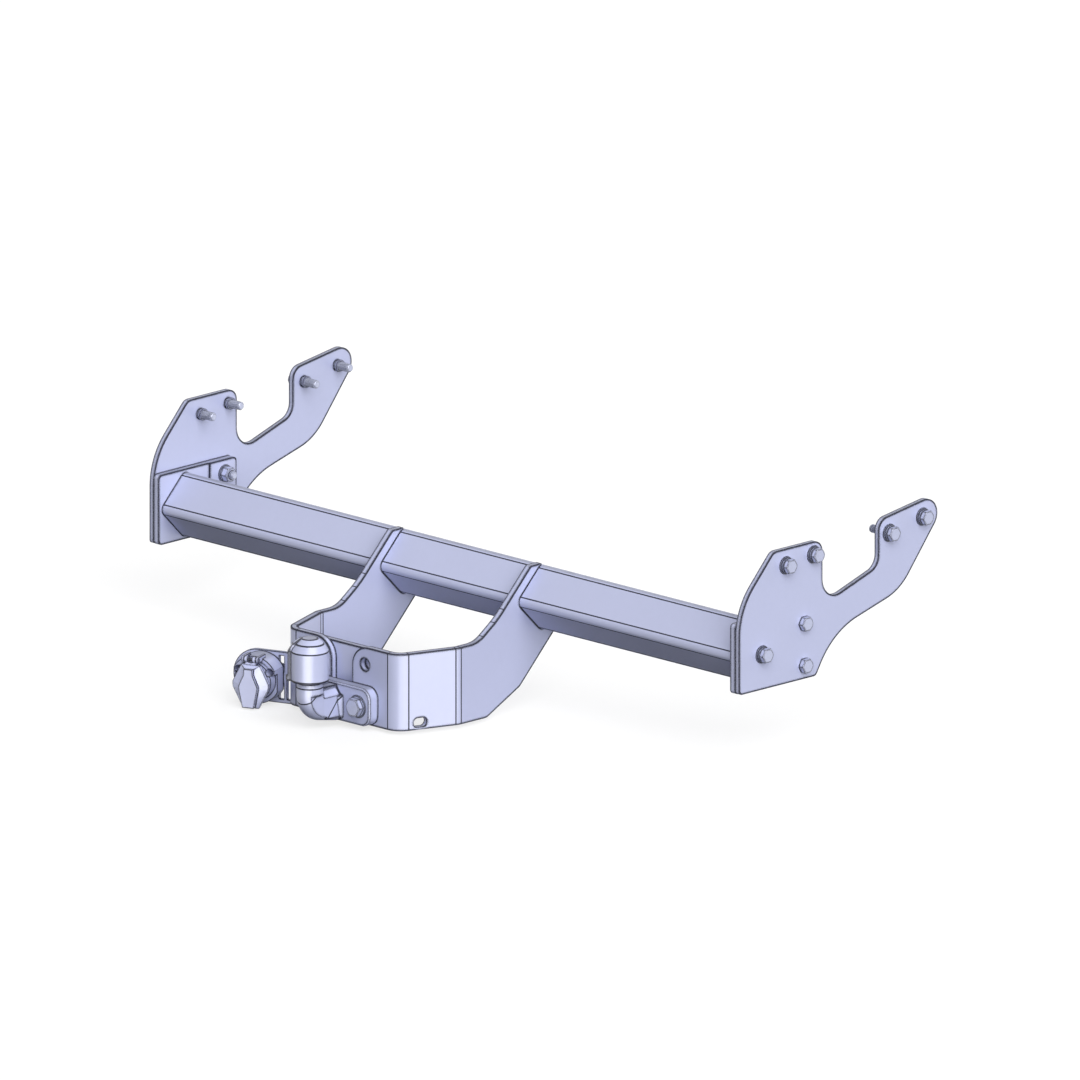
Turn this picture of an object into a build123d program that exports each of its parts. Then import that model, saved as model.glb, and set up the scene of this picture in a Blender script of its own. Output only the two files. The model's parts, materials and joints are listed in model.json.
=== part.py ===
# A rear tow bar for a pickup: a square cross beam turned on edge, two bolt-on side arms that reach
# forward to the chassis rails, two bent cheek plates that carry a flanged 50 mm tow ball, and a
# seven-pin trailer socket on a plate beside the ball.
#
# Millimetres. X runs along the beam to the right, Y forward towards the vehicle, Z up.
# The origin is the centre of the tow ball.

import math
import os

from build123d import *

# Cross beam: a square tube standing on one corner
beam_width = 70.0
beam_wall = 5.0
beam_corner = 10.0
beam_length = 1116.0
beam_forward = 314.6
beam_above = 53.75

# End plates, welded over the ends of the beam
end_plate_thick = 10.0
end_plate_rear = 51.5
end_plate_front = 98.5
end_plate_height = 100.0
end_plate_corner = 6.0
end_tab_rise = 2.0
end_tab_start = 47.0

# Side arms, bolted outside the end plates
arm_thick = 8.0
chassis_bolt_places = [(39.3, 119.85), (93.3, 125.25), (241.3, 128.05), (306.3, 138.95)]
end_bolt_places = [(75.4, 30.0), (75.4, -30.0), (-7.1, 1.1)]
arm_rear = -51.5
arm_foot = -49.4
arm_foot_radii = (5.0, 8.0)
arm_foot_front = 98.0
arm_waist = (132.5, 6.75)
arm_waist_radius = 120.0
arm_elbow = (262.4, 42.05)
arm_elbow_radius = 85.0
arm_tip = (368.1, 170.95)
arm_tip_radius = 23.2
saddle_front = 220.7
front_lobe_top = 149.35
front_lobe_radius = 18.0
saddle_front_floor = 84.65
saddle_front_radius = 22.0
rear_lobe_front = 111.0
saddle_floor = 49.3
saddle_rear_radius = 27.0
rear_lobe_top = 143.1
rear_lobe_radii = (16.0, 15.0)
rear_lobe_shoulder = 15.9
arm_shoulder_up = 71.75
arm_shoulder_radius = 100.0

# Cheek plates: bent from one 10 mm plate each
cheek_thick = 10.0
cheek_outside = 140.0
cheek_face = 62.6
cheek_bend_radius = 16.0
cheek_splay = 20.0
cheek_splay_run = 88.9
flange_gap = 40.0
flange_top = 11.0
cheek_height = 110.0
flange_corner = 30.0
saddle_band_above = 14.7
saddle_band_below = 18.75
saddle_tip_up = 47.75
saddle_tip_low = 7.9
saddle_tip_radius = 3.0
sweep_knee = 85.9
sweep_knee_radius = 150.0
sweep_slope = 34.5
sweep_foot_radius = 45.0
cheek_heel = 109.1
cheek_heel_radius = 15.0
chain_slot_length = 20.0
chain_slot_height = 13.0
chain_slot_back = 17.5
chain_slot_up = 10.2

# Centre plate behind the two flanges
centre_plate_thick = 10.0
centre_plate_width = 176.0
centre_plate_drop = 5.0
centre_plate_lift = 3.0

# Tow ball forging
ball_radius = 25.0
ball_flat = 24.0
ball_neck_radius = 14.5
shank_radius = 18.6
shank_shoulder = 42.0
elbow_radius = 22.0
elbow_level = -52.5
elbow_turn = 79.0
web_half_width = 14.4
web_rib_half_width = 7.0
web_shoulder = 59.5
web_rib_low = 50.0
web_top = 46.0
flare_run = 27.0
flare_half_width = 20.0
flare_spread = 2.5
flare_lift = 6.5
steep_run = 6.0
ball_flange_width = 142.0
ball_flange_height = 54.0
ball_flange_thick = 17.2
ball_flange_corner = 16.0
ball_flange_chamfer = 1.8
ball_hole_radius = 8.75
ball_hole_spacing = 96.0
ball_hole_level = -70.0
upper_hole_spacing = 90.0
upper_hole_level = -14.0

# Ball cap
cap_clearance = 0.3
cap_outer_radius = 26.4
cap_top = 27.7
cap_top_radius = 11.5
cap_chamfer_top = 19.8
cap_chamfer_radius = 19.8
cap_shoulder = 9.1
cap_skirt = 33.0
cap_lug_reach = 4.3
cap_lug_width = 9.0
cap_lip_reach = 2.4
cap_lip_height = 7.5

# Fasteners: shank radius, width across flats, head height
chassis_bolt = (5.9, 19.0, 7.5)
end_bolt = (5.9, 19.0, 8.2)
ball_bolt = (7.9, 24.0, 9.0)
chassis_bolt_grip = 27.0
bolt_hole_clearance = 0.6
end_bolt_tail = 6.5
ball_bolt_tail = 5.0

# Washers: outer radius and thickness
chassis_washer = (12.0, 2.5)
spring_washer = (10.5, 2.9)
spring_washer_split = 1.5
ball_washer = (15.5, 2.0)
retainer = (8.4, 3.0)
retainer_stand_off = 4.0
chassis_nut_height = 10.8
ball_nut_height = 14.0
washer_slack = 0.4

# Socket plate
socket_plate_thick = 6.0
socket_plate_height = 73.0
socket_offset = 43.9
socket_level = -67.5
socket_plate_overrun = 9.2
window_edge = 5.5
window_inner = 24.0
window_outer = 31.5
window_boss_radius = 32.0
notch_start = 36.0
notch_top = 5.0

# Socket housing and what it holds
spigot_radius = 24.0
spigot_back = 16.0
spigot_clearance = 0.5
gasket_thick = 2.0
flange_radius = 35.0
flange_flat = 31.0
flange_front = 20.7
collar_radius = 28.0
collar_front = 36.0
socket_bore = 22.0
insert_front = 14.0
insert_back = 12.0
pin_radius = 1.75
pin_reach = 14.0
pin_circle = 13.0
socket_screw_circle = 28.5
socket_screw_radius = 2.5
socket_screw_head = (4.5, 3.0)
socket_screw_tail = 3.0
socket_screw_pocket = 4.7
socket_nut = (8.0, 4.0)
hood_wall = 6.0
hood_front = 31.0
hood_half_angle = 72.0

# Lid of the socket
lid_gap = 0.3
lid_seal_thick = 1.2
lid_seal_radius = 23.6
lid_thick = 5.0
lid_slope = 5.0
lid_panel_edge = 1.5
lid_panel_rise = 4.0
lid_panel = [(6.3, 20.8), (6.9, 12.0), (14.3, -4.0), (14.2, -8.0), (8.6, -34.6)]
lid_foot = [(14.0, 25.0), (20.5, 13.0), (27.5, -1.0), (27.0, -8.0), (12.0, -36.5)]
hinge_level = 33.0
hinge_reach = 41.5
hinge_knuckle_radius = 4.0
hinge_pin_radius = 1.5
hinge_fit = 0.05
hinge_side_gap = 0.3
hinge_half_width = 13.0
hinge_lug_width = 4.0
spring_half_width = 3.4
spring_wire = 0.8
spring_clearance = 0.4
spring_end_gap = 0.2
spring_turns = 4
spring_leg = 1.6

# Worked out from the sizes above
cheek_outer_bend = cheek_bend_radius + cheek_thick
splay = math.radians(cheek_splay)
cheek_bottom = flange_top - cheek_height
bend_corner = cheek_face + cheek_splay_run
face_corner = cheek_outside - cheek_splay_run * math.tan(splay)
flange_half_gap = flange_gap / 2
centre_plate_back = cheek_face + cheek_thick + centre_plate_thick
ball_flange_front = cheek_face - ball_flange_thick
beam_end = beam_length / 2
arm_inner_face = beam_end + end_plate_thick
arm_outer_face = arm_inner_face + arm_thick

XY_FLOOR = (Align.CENTER, Align.CENTER, Align.MIN)


def beam_place():
    return Pos(0, beam_forward, beam_above)


def beam_outline(extra=0.0):
    side = beam_width + 2 * extra
    return Rot(0, 0, 45) * RectangleRounded(side, side, beam_corner + extra)


def beam_block(half_length, section):
    return extrude(Plane.YZ.offset(-half_length) * section, amount=2 * half_length)


def cross_beam():
    inner_side = beam_width - 2 * beam_wall
    bore = Rot(0, 0, 45) * RectangleRounded(inner_side, inner_side, beam_corner - beam_wall)
    return beam_place() * beam_block(beam_end, beam_outline() - bore)


def upright(points, radii, start, thick):
    """A plate in the Y-Z plane from its corners and their radii, from X start."""
    outline = FilletPolyline(*points, radius=radii, close=True)
    return extrude(Plane.YZ.offset(start) * make_face(outline), amount=thick)


def drill(places, radius, start, depth):
    """Cylinders along X at (forward, up) places measured from the beam's axis."""
    holes = [Plane.YZ.offset(start) * Pos(y, z, 0) * Cylinder(radius, depth, align=XY_FLOOR)
             for y, z in places]
    return Part() + holes


def end_plate():
    """The plate over the beam's end, thicker on the inside along its front edge."""
    length = end_plate_rear + end_plate_front
    middle = (end_plate_front - end_plate_rear) / 2
    inside = beam_end - end_tab_rise
    thick = end_plate_thick + end_tab_rise
    slab = Pos(middle, 0) * RectangleRounded(length, end_plate_height, end_plate_corner)
    plate = extrude(Plane.YZ.offset(inside) * slab, amount=thick)
    plate -= Pos(inside, end_tab_start, 0) * Box(
        end_tab_rise, length, end_plate_height, align=(Align.MIN, Align.MAX, Align.CENTER))
    holes = drill(end_bolt_places, chassis_bolt[0] + bolt_hole_clearance, inside, thick)
    return beam_place() * (plate - holes)


def side_arm():
    corners = [
        ((arm_rear, arm_foot), arm_foot_radii[0]),
        ((arm_foot_front, arm_foot), arm_foot_radii[1]),
        (arm_waist, arm_waist_radius),
        (arm_elbow, arm_elbow_radius),
        (arm_tip, arm_tip_radius),
        ((saddle_front, front_lobe_top), front_lobe_radius),
        ((saddle_front, saddle_front_floor), saddle_front_radius),
        ((rear_lobe_front, saddle_floor), saddle_rear_radius),
        ((rear_lobe_front, rear_lobe_top), rear_lobe_radii[0]),
        ((rear_lobe_shoulder, rear_lobe_top), rear_lobe_radii[1]),
        ((arm_rear, arm_shoulder_up), arm_shoulder_radius),
    ]
    plate = upright([c[0] for c in corners], [c[1] for c in corners], arm_inner_face, arm_thick)
    hole = chassis_bolt[0] + bolt_hole_clearance
    holes = drill(chassis_bolt_places + end_bolt_places, hole, arm_inner_face, arm_thick)
    return beam_place() * (plate - holes)


def mitre(corner, first, second, depth):
    """The corner of two lines moved by depth along their unit normals."""
    share = depth / (1 + first[0] * second[0] + first[1] * second[1])
    return (corner[0] + share * (first[0] + second[0]), corner[1] + share * (first[1] + second[1]))


def cheek_plan():
    """The bent plate seen from above: side, splayed part and front flange."""
    reach = beam_forward + beam_width
    side_in, splay_in, face_in = (-1.0, 0.0), (-math.cos(splay), math.sin(splay)), (0.0, 1.0)
    bend, corner = (cheek_outside, bend_corner), (face_corner, cheek_face)
    outer = [(cheek_outside, reach), bend, corner, (flange_half_gap, cheek_face)]
    inner = [(cheek_outside - cheek_thick, reach), mitre(bend, side_in, splay_in, cheek_thick),
             mitre(corner, splay_in, face_in, cheek_thick),
             (flange_half_gap, cheek_face + cheek_thick)]
    outside = FilletPolyline(*outer, radius=cheek_outer_bend)
    inside = FilletPolyline(*inner, radius=cheek_bend_radius)
    ends = [Line(outer[0], inner[0]), Line(outer[-1], inner[-1])]
    return make_face(outside.edges() + inside.edges() + ends)


def tube_point(along, across):
    """A point in the beam's section, along and across its faces, as (forward, up)."""
    return ((along - across) / math.sqrt(2), (along + across) / math.sqrt(2))


def cheek_profile():
    """The cheek seen from the side, measured from the beam's axis."""
    above = (beam_width / 2 + saddle_band_above) * math.sqrt(2)
    below = beam_width / 2 + saddle_band_below
    drop = below * math.sqrt(2)
    top = flange_top - beam_above
    bottom = cheek_bottom - beam_above
    rear = cheek_face - beam_forward - cheek_thick
    knee = 2 * (bottom + drop) + cheek_heel
    sweep_start = above - sweep_knee
    sweep_foot = -sweep_knee - (sweep_start - top) / math.tan(math.radians(sweep_slope))
    corners = [
        ((rear, bottom), 0.0),
        ((-cheek_heel, bottom), cheek_heel_radius),
        ((knee, knee - drop), cheek_heel_radius),
        (tube_point(saddle_tip_low, -below), saddle_tip_radius),
        (tube_point(saddle_tip_low, -beam_width / 2), 0.0),
        ((0.0, 0.0), 0.0),
        ((saddle_tip_up - beam_width / math.sqrt(2), saddle_tip_up), 0.0),
        ((saddle_tip_up - above, saddle_tip_up), saddle_tip_radius),
        ((-sweep_knee, sweep_start), sweep_knee_radius),
        ((sweep_foot, top), sweep_foot_radius),
        ((rear, top), 0.0),
    ]
    return [c[0] for c in corners], [c[1] for c in corners]


def splay_place(depth, level):
    """A place on the outer splayed face, depth behind the big bend, its Z axis along the normal."""
    tangent = cheek_outer_bend * math.tan(math.radians(90 - cheek_splay) / 2)
    run = tangent + depth
    origin = (face_corner + run * math.sin(splay), cheek_face + run * math.cos(splay), level)
    return Plane(origin=origin, x_dir=(math.sin(splay), math.cos(splay), 0),
                 z_dir=(math.cos(splay), -math.sin(splay), 0))


def ball_holes(front, depth):
    """The lower and the upper hole on the right of the ball, through a plate at Y = front."""
    places = [(ball_hole_spacing / 2, ball_hole_level), (upper_hole_spacing / 2, upper_hole_level)]
    return Part() + [Pos(x, front, z) * (
        Rot(-90, 0, 0) * Cylinder(ball_hole_radius, depth, align=XY_FLOOR)) for x, z in places]


def cheek_plate():
    points, radii = cheek_profile()
    prism = beam_place() * upright(points, radii, 0, cheek_outside + cheek_thick)
    tall = beam_above + beam_width
    sheet = extrude(Pos(0, 0, cheek_bottom) * cheek_plan(), amount=tall - cheek_bottom)
    plate = sheet & prism
    plate -= beam_place() * beam_block(beam_end, beam_outline())
    corner = Pos(flange_half_gap, cheek_face, flange_top - flange_corner) * Box(
        flange_corner, cheek_thick, flange_corner, align=(Align.MIN, Align.MIN, Align.MIN))
    round_off = Pos(flange_half_gap + flange_corner, cheek_face, flange_top - flange_corner) * (
        Rot(-90, 0, 0) * Cylinder(flange_corner, cheek_thick, align=XY_FLOOR))
    plate -= corner - round_off
    plate -= ball_holes(cheek_face, cheek_thick)
    slot = SlotOverall(chain_slot_length, chain_slot_height)
    mark = splay_place(chain_slot_back, cheek_bottom + chain_slot_up)
    return plate - extrude(mark * slot, amount=-cheek_thick)


def centre_plate():
    low = cheek_bottom + centre_plate_lift
    high = flange_top - centre_plate_drop
    front = cheek_face + cheek_thick
    plate = Pos(0, front, low) * Box(centre_plate_width, centre_plate_thick, high - low,
                                     align=(Align.CENTER, Align.MIN, Align.MIN))
    holes = ball_holes(front, centre_plate_thick)
    return plate - holes - mirrored(holes)


def ball_and_shank():
    """The turned part: a ball with a small flat on top, its neck and the round shank."""
    flat_radius = math.sqrt(ball_radius ** 2 - ball_flat ** 2)
    neck_level = -math.sqrt(ball_radius ** 2 - ball_neck_radius ** 2)
    neck = Polyline((ball_neck_radius, neck_level), (ball_neck_radius, neck_level - 3.0),
                    (shank_radius, -shank_shoulder), (shank_radius, elbow_level), (0, elbow_level),
                    (0, ball_flat), (flat_radius, ball_flat))
    bulge = ThreePointArc((flat_radius, ball_flat), (ball_radius, 0), (ball_neck_radius, neck_level))
    half = make_face(neck.edges() + bulge.edges())
    return revolve(Plane.XZ * half, axis=Axis.Z)


def elbow_and_arm():
    """The shank bent forward, then run on straight, a little downhill, to the flange."""
    turn = math.radians(elbow_turn)
    elbow_axis = Axis((0, elbow_radius, elbow_level), (1, 0, 0))
    elbow = revolve(Pos(0, 0, elbow_level) * Circle(shank_radius), axis=elbow_axis,
                    revolution_arc=elbow_turn)
    start = (0, elbow_radius * (1 - math.cos(turn)), elbow_level - elbow_radius * math.sin(turn))
    onward = Plane(origin=start, x_dir=(1, 0, 0), z_dir=(0, math.sin(turn), -math.cos(turn)))
    arm = onward * Cylinder(shank_radius, 2 * ball_flange_front, align=XY_FLOOR)
    bottom = ball_hole_level - ball_flange_height / 2
    bounds = Pos(0, 0, bottom) * Box(2 * web_half_width, 2 * ball_flange_front, -bottom,
                                     align=(Align.CENTER, Align.CENTER, Align.MIN))
    return (elbow + arm) & bounds


def flare():
    """Where the arm widens into the flange: long and slight below, short and steep beside it."""
    bottom = ball_hole_level - ball_flange_height / 2 + flare_lift
    rear = ball_flange_front - flare_run
    crown = Vector(web_half_width, ball_flange_front, -web_shoulder)
    slope = Plane(origin=crown, z_dir=Vector(0, -flare_run, bottom - crown.Z).cross(
        Vector(flare_spread, 0, bottom - crown.Z)))
    block = Pos(0, rear, bottom) * Box(flare_half_width, flare_run, crown.Z - bottom,
                                       align=(Align.MIN, Align.MIN, Align.MIN))
    wedge = split(block, bisect_by=slope, keep=Keep.BOTTOM)
    start = ball_flange_front - steep_run
    plan = Polyline((0, start), (web_half_width, start), (flare_half_width, ball_flange_front),
                    (0, ball_flange_front), close=True)
    steep = extrude(Pos(0, 0, bottom) * make_face(plan), amount=crown.Z - bottom)
    return wedge + mirrored(wedge) + steep + mirrored(steep)


def ball_flange():
    pad = Plane.XZ.offset(-cheek_face) * Pos(0, ball_hole_level) * RectangleRounded(
        ball_flange_width, ball_flange_height, ball_flange_corner)
    flange = extrude(pad, amount=ball_flange_thick)
    flange = chamfer(flange.faces().sort_by(Axis.Y)[0].edges(), ball_flange_chamfer)
    holes = [Pos(side * ball_hole_spacing / 2, ball_flange_front, ball_hole_level) * (
        Rot(-90, 0, 0) * Cylinder(ball_hole_radius, ball_flange_thick, align=XY_FLOOR))
        for side in (-1, 1)]
    return flange - holes


def tow_ball():
    low = elbow_level - elbow_radius
    section = [(web_half_width, low), (web_half_width, -web_shoulder),
               (web_rib_half_width, -web_rib_low), (web_rib_half_width, -web_top)]
    section += [(-x, z) for x, z in reversed(section)]
    web = extrude(Plane.XZ * make_face(Polyline(*section, close=True)), amount=-ball_flange_front)
    return ball_and_shank() + elbow_and_arm() + web + flare() + ball_flange()


def cap_outline(grow):
    """Half the cap's outline, moved out by grow, as points from the crown to the skirt."""
    return [(cap_top_radius + grow / 2, cap_top), (cap_chamfer_radius + grow, cap_chamfer_top),
            (cap_outer_radius + grow, cap_shoulder), (cap_outer_radius + grow, -cap_skirt)]


def ball_cap():
    body = make_face(Polyline((0, -cap_skirt), (0, cap_top), *cap_outline(0), close=True))
    cap = revolve(Plane.XZ * body, axis=Axis.Z)
    lip = cap_outline(cap_lug_reach)[:-1]
    reach = cap_outer_radius + cap_lug_reach
    lip += [(reach, cap_lip_height - cap_skirt), (reach + cap_lip_reach, cap_lip_height - cap_skirt),
            (reach + cap_lip_reach, 3 - cap_skirt), (reach, -cap_skirt)]
    fin = make_face(Polyline((0, -cap_skirt), (0, cap_top), *lip, close=True))
    lug = extrude(Plane.XZ * fin, amount=cap_lug_width / 2, both=True)
    cap += Rot(0, 0, 225) * lug
    hollow = Sphere(ball_radius + cap_clearance)
    hollow += Cylinder(ball_radius + cap_clearance, cap_skirt,
                       align=(Align.CENTER, Align.CENTER, Align.MAX))
    return cap - hollow


def hexagon(flats, height):
    """A hexagon prism standing on Z = 0 with its upper corners turned off."""
    blank = extrude(RegularPolygon(flats / 2, 6, major_radius=False), amount=height)
    corner = flats / math.sqrt(3)
    turned = Cylinder(corner, height, align=XY_FLOOR)
    turned = chamfer(turned.edges().sort_by(Axis.Z)[-1], corner - flats / 2 + 0.4)
    return blank & turned


def bolt(spec, length):
    """Head above Z = 0, shank below it."""
    shank_radius_here, flats, head_height = spec
    shank = Cylinder(shank_radius_here, length, align=(Align.CENTER, Align.CENTER, Align.MAX))
    shank = chamfer(shank.edges().sort_by(Axis.Z)[0], shank_radius_here / 6)
    return hexagon(flats, head_height) + shank


def ring(outer, inner, height):
    return Cylinder(outer, height, align=XY_FLOOR) - Cylinder(inner, height, align=XY_FLOOR)


def nut(flats, inner, height):
    return hexagon(flats, height) - Cylinder(inner, height, align=XY_FLOOR)


def on_beam(x, place, facing):
    """A place on a plate's face: facing is +1 for outwards along X, -1 for inwards."""
    origin = (x, beam_forward + place[0], beam_above + place[1])
    return Plane(origin=origin, x_dir=(0, 1, 0), z_dir=(facing, 0, 0))


def along_y(x, y, z, facing):
    return Plane(origin=(x, y, z), x_dir=(1, 0, 0), z_dir=(0, facing, 0))


def group(solids):
    return Compound(children=[s for part in solids for s in part.solids()])


def split_ring(outer, inner, height):
    """A spring washer: a ring cut through once, slantwise."""
    cut = Pos((outer + inner) / 2, 0, height / 2) * Rot(20, 0, 0) * Box(
        outer, spring_washer_split, 2 * height)
    return ring(outer, inner, height) - cut


def head_stack(place):
    """Washer, spring washer and the level of the head, on the arm's outer face."""
    bore = chassis_bolt[0] + washer_slack
    flat = on_beam(arm_outer_face, place, 1) * ring(chassis_washer[0], bore, chassis_washer[1])
    level = arm_outer_face + chassis_washer[1]
    spring = on_beam(level, place, 1) * split_ring(spring_washer[0], bore, spring_washer[1])
    return flat, spring, level + spring_washer[1]


def chassis_hardware():
    stacks = [head_stack(place) for place in chassis_bolt_places]
    bolts = [on_beam(level, p, 1) * bolt(chassis_bolt, level - arm_inner_face + chassis_bolt_grip)
             for (_, _, level), p in zip(stacks, chassis_bolt_places)]
    grips = [on_beam(arm_inner_face - retainer_stand_off, p, -1)
             * ring(retainer[0], chassis_bolt[0], retainer[1]) for p in chassis_bolt_places]
    return {"chassis_bolts": group(bolts), "chassis_bolt_washers": group(s[0] for s in stacks),
            "chassis_spring_washers": group(s[1] for s in stacks),
            "chassis_bolt_retainers": group(grips)}


def end_plate_hardware():
    """Three bolts through arm and end plate; the nut of the rearmost is inside the tube."""
    washer_radius, washer_thick = chassis_washer
    bore = chassis_bolt[0] + washer_slack
    bolts, nuts, washers, head_washers = [], [], [], []
    for place in end_bolt_places:
        in_tube = place[0] < 0
        spec, head, seat = end_bolt, arm_outer_face, beam_end - end_tab_rise
        if in_tube:
            flat, spring, head = head_stack(place)
            head_washers += [flat, spring]
            spec, seat = chassis_bolt, beam_end
        else:
            washers.append(on_beam(seat, place, -1) * ring(washer_radius, bore, washer_thick))
            seat -= washer_thick
        length = head - seat + chassis_nut_height + end_bolt_tail
        bolts.append(on_beam(head, place, 1) * bolt(spec, length))
        nuts.append(on_beam(seat, place, -1) * nut(spec[1], spec[0], chassis_nut_height))
    return {"end_plate_bolts": group(bolts), "end_plate_nuts": group(nuts),
            "end_plate_nut_washers": group(washers), "end_plate_head_washers": group(head_washers)}


def ball_hardware():
    washer_radius, washer_thick = ball_washer
    bore = ball_bolt[0] + washer_slack
    head = ball_flange_front - washer_thick
    tail = centre_plate_back + washer_thick
    length = tail - head + ball_nut_height + ball_bolt_tail
    bolts, front, back, nuts = [], [], [], []
    for x in (-ball_hole_spacing / 2, ball_hole_spacing / 2):
        bolts.append(along_y(x, head, ball_hole_level, -1) * bolt(ball_bolt, length))
        front.append(along_y(x, ball_flange_front, ball_hole_level, -1)
                     * ring(washer_radius, bore, washer_thick))
        back.append(along_y(x, centre_plate_back, ball_hole_level, 1)
                    * ring(washer_radius, bore, washer_thick))
        nuts.append(along_y(x, tail, ball_hole_level, 1)
                    * nut(ball_bolt[1], ball_bolt[0], ball_nut_height))
    return {"ball_bolts": group(bolts), "ball_bolt_washers": group(front),
            "ball_nut_washers": group(back), "ball_nuts": group(nuts)}


def socket_place():
    """The socket's frame on the left cheek: X towards the cheek, Y into the plate, Z up."""
    tangent = cheek_outer_bend * math.tan(math.radians(90 - cheek_splay) / 2)
    foot_x = -(face_corner + tangent * math.sin(splay))
    foot_y = cheek_face + tangent * math.cos(splay)
    x = foot_x - socket_offset * math.cos(splay)
    y = foot_y - socket_offset * math.sin(splay)
    return Pos(x, y, socket_level) * Rot(0, 0, cheek_splay)


def facing_out(y, height, shape):
    """A sketch stood up in the socket's frame at Y = y and drawn out by height towards -Y."""
    return extrude(Plane.XZ.offset(-y) * shape, amount=height)


def screw_places():
    return [(socket_screw_circle * math.cos(math.radians(a)),
             socket_screw_circle * math.sin(math.radians(a))) for a in (30, 150, 270)]


def socket_plate():
    half = socket_plate_height / 2
    back = socket_plate_thick
    round_end = Pos(-socket_plate_overrun, 0) * Circle(half)
    length = socket_plate_overrun + socket_offset
    strip = Pos(-socket_plate_overrun, 0) * Rectangle(
        length, socket_plate_height, align=(Align.MIN, Align.CENTER))
    outline = round_end + strip
    opening = half - window_edge
    window = Pos(window_inner, 0) * Rectangle(
        window_outer - window_inner, 2 * opening, align=(Align.MIN, Align.CENTER))
    window -= Circle(window_boss_radius)
    notch = Pos(notch_start, -opening) * Rectangle(
        socket_offset - notch_start, opening + notch_top, align=(Align.MIN, Align.MIN))
    outline = outline - window - notch - Circle(spigot_radius + spigot_clearance)
    for x, z in screw_places():
        outline -= Pos(x, z) * Circle(socket_screw_radius + washer_slack)
    return facing_out(back, socket_plate_thick, outline)


def flange_shape(radius):
    return Circle(radius) & Rectangle(2 * flange_flat, 2 * radius)


def socket_gasket():
    shape = flange_shape(flange_radius) - Circle(spigot_radius + spigot_clearance)
    for x, z in screw_places():
        shape -= Pos(x, z) * Circle(socket_screw_radius + washer_slack)
    return facing_out(0, gasket_thick, shape)


def on_hinge(radius, half_width):
    """A cylinder on the lid's hinge axis."""
    return Plane.YZ.offset(-half_width) * Pos(-hinge_reach, hinge_level) * Cylinder(
        radius, 2 * half_width, align=XY_FLOOR)


def hinge_lugs():
    """Two arms from the housing's flange, with round ends about the pin."""
    arm = Pos(-hinge_reach, hinge_level - hinge_knuckle_radius) * Rectangle(
        hinge_reach - flange_front, 2 * hinge_knuckle_radius, align=(Align.MIN, Align.MIN))
    profile = arm + Pos(-hinge_reach, hinge_level) * Circle(hinge_knuckle_radius)
    inner_half = hinge_half_width - hinge_lug_width
    return [extrude(Plane.YZ.offset(start) * profile, amount=hinge_lug_width)
            for start in (inner_half, -hinge_half_width)]


def socket_housing():
    flange = facing_out(-gasket_thick, flange_front - gasket_thick, flange_shape(flange_radius))
    collar = facing_out(-flange_front, collar_front - flange_front, Circle(collar_radius))
    spigot = facing_out(spigot_back, spigot_back + gasket_thick, Circle(spigot_radius))
    spread = flange_radius * math.tan(math.radians(hood_half_angle))
    wedge = Polyline((0, 0), (-spread, flange_radius), (spread, flange_radius), close=True)
    visor = (flange_shape(flange_radius) - Circle(flange_radius - hood_wall)) & make_face(wedge)
    hood = facing_out(-flange_front, hood_front - flange_front, visor)
    body = flange + collar + spigot + hood
    for lug in hinge_lugs():
        body += lug
    bore_depth = collar_front + insert_back
    body -= facing_out(insert_back, bore_depth, Circle(socket_bore))
    body -= facing_out(spigot_back, spigot_back, Circle(socket_bore - 4))
    for x, z in screw_places():
        body -= facing_out(0, flange_front, Pos(x, z) * Circle(socket_screw_radius + washer_slack))
        body -= facing_out(-flange_front + 8, collar_front, Pos(x, z) * Circle(socket_screw_pocket))
    return body - on_hinge(hinge_pin_radius, hinge_half_width)


def contact_insert():
    depth = insert_back + insert_front
    block = facing_out(insert_back, depth, Circle(socket_bore))
    for x, z in pin_places():
        block -= facing_out(insert_back, depth, Pos(x, z) * Circle(pin_radius))
    key = Pos(0, socket_bore - 2) * Rectangle(6, 4)
    return block - facing_out(-insert_front + 5, 5, key)


def pin_places():
    circle = [(pin_circle * math.cos(math.radians(30 + 60 * i)),
               pin_circle * math.sin(math.radians(30 + 60 * i))) for i in range(6)]
    return circle + [(0.0, 0.0)]


def contact_pins():
    length = insert_back + insert_front + pin_reach
    return group([facing_out(insert_back, length, Pos(x, z) * Circle(pin_radius))
                  for x, z in pin_places()])


def lid_shape(corners, grow=0.0):
    """A long hexagon, from the corners of its right side, moved out sideways by grow."""
    right = [(x + grow, z) for x, z in corners]
    return make_face(Polyline(*right, *[(-x, z) for x, z in reversed(right)], close=True))


def lid_back():
    return -(collar_front + lid_gap + lid_seal_thick)


def socket_lid():
    back = lid_back()
    front = back - lid_thick
    plate = facing_out(back, lid_thick, lid_shape(lid_foot))
    near = Plane.XZ.offset(-front) * lid_shape(lid_foot)
    far = Plane.XZ.offset(lid_slope - front) * lid_shape(lid_panel, lid_panel_edge)
    panel = facing_out(front - lid_slope, lid_panel_rise, lid_shape(lid_panel))
    reach = hinge_half_width - hinge_lug_width - hinge_side_gap
    barrel = on_hinge(hinge_knuckle_radius, reach)
    neck_low = lid_foot[0][1] - 3
    neck = Pos(0, back, neck_low) * Box(2 * reach, lid_thick, hinge_level - neck_low,
                                        align=(Align.CENTER, Align.MAX, Align.MIN))
    lid = plate + loft([near.face(), far.face()]) + panel + barrel + neck
    gap = on_hinge(hinge_knuckle_radius + hinge_side_gap, spring_half_width)
    return lid - gap - on_hinge(hinge_pin_radius + hinge_fit, reach)


def lid_seal():
    back = lid_back()
    shape = Circle(lid_seal_radius) - Circle(socket_bore)
    return facing_out(back + lid_seal_thick, lid_seal_thick, shape)


def lid_hinge_pin():
    return on_hinge(hinge_pin_radius, hinge_half_width)


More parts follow.
